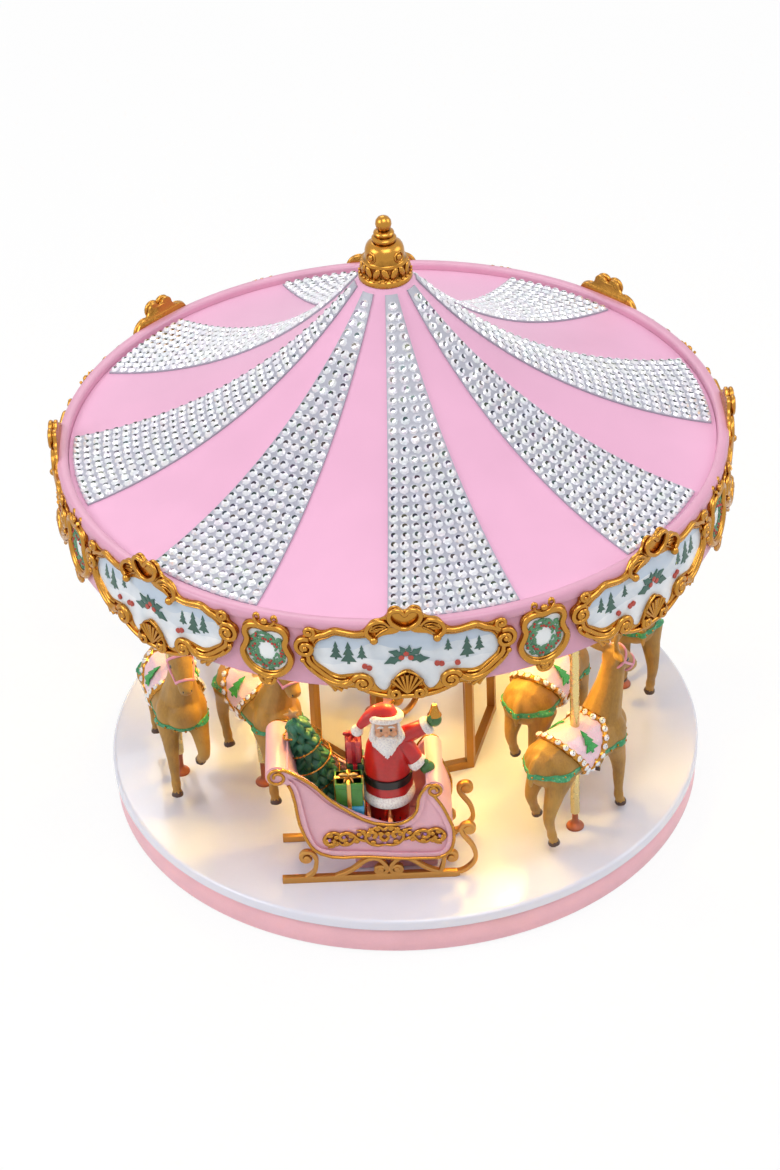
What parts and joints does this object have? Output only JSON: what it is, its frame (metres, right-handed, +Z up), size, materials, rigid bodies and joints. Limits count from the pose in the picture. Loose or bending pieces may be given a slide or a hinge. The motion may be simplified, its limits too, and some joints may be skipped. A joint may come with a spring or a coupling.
{
  "type": "carousel music box",
  "caption": "Table-top carousel music box: round base, turning deck, mirrored column, bell canopy with stone stripes, lifting deer on poles and a sleigh.",
  "frame": {"origin": "centre of the base on the table, at the underside of the feet", "axes": "+Z up along the turning axis, -Y towards the front, where the sleigh stands at rest, +X to the right"},
  "size_m": [0.2978, 0.2978, 0.288],
  "materials": {
    "base_pink": "satin moulded plastic",
    "deck_white": "gloss",
    "black_plastic": "matt",
    "foot_rubber": "matt",
    "steel": "brushed",
    "white_plastic": "matt",
    "board_green": "matt",
    "antique_gold": "gilt resin",
    "bronze": "bronzed",
    "mirror": "mirror",
    "canopy_pink": "satin",
    "rim_mauve": "satin",
    "stones": "faceted",
    "picture": "gloss print",
    "lamp": "frosted",
    "pole_gold": "polished",
    "pin_copper": "coppered",
    "deer_brown": "painted resin",
    "sleigh_pink": "satin",
    "coat_red": "painted resin",
    "fir_green": "painted resin",
    "gift_green": "painted resin",
    "motor_grey": "painted"
  },
  "bodies": {
    "base": {"base_housing": "base_pink", "bottom_cover": "black_plastic", "rubber_feet": "foot_rubber", "cover_screws": "steel", "centre_post": "steel", "thrust_washer": "white_plastic", "gear_motor": "motor_grey", "circuit_board": "board_green", "speaker": "black_plastic", "power_inlet": "black_plastic", "barrel_cam": "white_plastic"},
    "turntable": {"deck": "deck_white", "drive_gear": "white_plastic", "column_frame": "bronze", "mirror_panels": "mirror", "soffit": "deck_white", "canopy_rim": "rim_mauve", "canopy_cover": "canopy_pink", "crystal_stripes": "stones", "finial": "antique_gold", "large_frames": "antique_gold", "small_frames": "antique_gold", "picture_panels": "picture", "lamps": "lamp", "guide_pins": "pin_copper", "pole_bushes": "white_plastic", "sleigh_body": "sleigh_pink", "sleigh_trim": "antique_gold", "sleigh_runners": "antique_gold", "sleigh_driver": "coat_red", "fir_tree": "fir_green", "gift_boxes": "gift_green"},
    "pinion": {"drive_pinion": "white_plastic"},
    "knob": {"volume_knob": "black_plastic"},
    "button": {"power_button": "black_plastic"},
    "rocker_1": {"rocker_1": "steel"},
    "outer_1": {"outer_deer_1": "deer_brown", "outer_pole_1": "pole_gold"},
    "inner_1": {"inner_deer_1": "deer_brown", "inner_pole_1": "pole_gold"},
    "rocker_2": {"rocker_2": "steel"},
    "outer_2": {"outer_deer_2": "deer_brown", "outer_pole_2": "pole_gold"},
    "inner_2": {"inner_deer_2": "deer_brown", "inner_pole_2": "pole_gold"},
    "rocker_3": {"rocker_3": "steel"},
    "outer_3": {"outer_deer_3": "deer_brown", "outer_pole_3": "pole_gold"},
    "inner_3": {"inner_deer_3": "deer_brown", "inner_pole_3": "pole_gold"},
    "rocker_4": {"rocker_4": "steel"},
    "outer_4": {"outer_deer_4": "deer_brown", "outer_pole_4": "pole_gold"},
    "inner_4": {"inner_deer_4": "deer_brown", "inner_pole_4": "pole_gold"},
    "rocker_5": {"rocker_5": "steel"},
    "outer_5": {"outer_deer_5": "deer_brown", "outer_pole_5": "pole_gold"},
    "inner_5": {"inner_deer_5": "deer_brown", "inner_pole_5": "pole_gold"}
  },
  "joints": [
    {"name": "spin", "type": "hinge", "parent": "base", "child": "turntable", "pos_m": [0, 0, 0.019], "axis": [0, 0, 1], "continuous": true},
    {"name": "pinion_spin", "type": "hinge", "parent": "base", "child": "pinion", "pos_m": [0, 0.068, 0.012], "axis": [0, 0, 1], "continuous": true},
    {"name": "volume_turn", "type": "hinge", "parent": "base", "child": "knob", "pos_m": [0.046, 0.12639, 0.0072], "axis": [0.342, 0.9397, 0], "range_deg": [-150, 150]},
    {"name": "button_press", "type": "slide", "parent": "base", "child": "button", "axis": [0.342, -0.9397, 0], "range_m": [0, 0.0012], "stiffness_N_per_m": 700, "springref_m": -0.0012},
    {"name": "lift_outer_1", "type": "slide", "parent": "turntable", "child": "outer_1", "axis": [0, 0, 1], "range_m": [-0.00093, 0.00808]},
    {"name": "lift_inner_1", "type": "slide", "parent": "turntable", "child": "inner_1", "axis": [0, 0, 1], "range_m": [-0.00809, 0.00093]},
    {"name": "rock_1", "type": "hinge", "parent": "turntable", "child": "rocker_1", "pos_m": [0, 0, 0.1704], "axis": [-0.7678, 0.6407, 0], "range_deg": [-4.49, 38.79]},
    {"name": "lift_outer_2", "type": "slide", "parent": "turntable", "child": "outer_2", "axis": [0, 0, 1], "range_m": [-0.00392, 0.00508]},
    {"name": "lift_inner_2", "type": "slide", "parent": "turntable", "child": "inner_2", "axis": [0, 0, 1], "range_m": [-0.00509, 0.00393]},
    {"name": "rock_2", "type": "hinge", "parent": "turntable", "child": "rocker_2", "pos_m": [0, 0, 0.1704], "axis": [-0.9387, -0.3446, 0], "range_deg": [-18.86, 24.42]},
    {"name": "lift_outer_3", "type": "slide", "parent": "turntable", "child": "outer_3", "axis": [0, 0, 1], "range_m": [-0.00865, 0.00035]},
    {"name": "lift_inner_3", "type": "slide", "parent": "turntable", "child": "inner_3", "axis": [0, 0, 1], "range_m": [-0.00036, 0.00866]},
    {"name": "rock_3", "type": "hinge", "parent": "turntable", "child": "rocker_3", "pos_m": [0, 0, 0.1704], "axis": [-0.1709, -0.9853, 0], "range_deg": [-41.56, 1.71]},
    {"name": "lift_outer_4", "type": "slide", "parent": "turntable", "child": "outer_4", "axis": [0, 0, 1], "range_m": [-0.00093, 0.00808]},
    {"name": "lift_inner_4", "type": "slide", "parent": "turntable", "child": "inner_4", "axis": [0, 0, 1], "range_m": [-0.00809, 0.00093]},
    {"name": "rock_4", "type": "hinge", "parent": "turntable", "child": "rocker_4", "pos_m": [0, 0, 0.1704], "axis": [0.7678, -0.6407, 0], "range_deg": [-4.49, 38.79]},
    {"name": "lift_outer_5", "type": "slide", "parent": "turntable", "child": "outer_5", "axis": [0, 0, 1], "range_m": [-0.00392, 0.00508]},
    {"name": "lift_inner_5", "type": "slide", "parent": "turntable", "child": "inner_5", "axis": [0, 0, 1], "range_m": [-0.00509, 0.00393]},
    {"name": "rock_5", "type": "hinge", "parent": "turntable", "child": "rocker_5", "pos_m": [0, 0, 0.1704], "axis": [0.9387, 0.3446, 0], "range_deg": [-18.86, 24.42]}
  ],
  "couplings": [
    {"joint": "pinion_spin", "follows": "spin", "ratio": -2.7778},
    {"joint": "lift_inner_1", "follows": "lift_outer_1", "ratio": -1},
    {"joint": "rock_1", "follows": "lift_outer_1", "rad_per_m": 83.727},
    {"joint": "lift_inner_2", "follows": "lift_outer_2", "ratio": -1},
    {"joint": "rock_2", "follows": "lift_outer_2", "rad_per_m": 83.727},
    {"joint": "lift_inner_3", "follows": "lift_outer_3", "ratio": -1},
    {"joint": "rock_3", "follows": "lift_outer_3", "rad_per_m": 83.727},
    {"joint": "lift_inner_4", "follows": "lift_outer_4", "ratio": -1},
    {"joint": "rock_4", "follows": "lift_outer_4", "rad_per_m": 83.727},
    {"joint": "lift_inner_5", "follows": "lift_outer_5", "ratio": -1},
    {"joint": "rock_5", "follows": "lift_outer_5", "rad_per_m": 83.727}
  ]
}
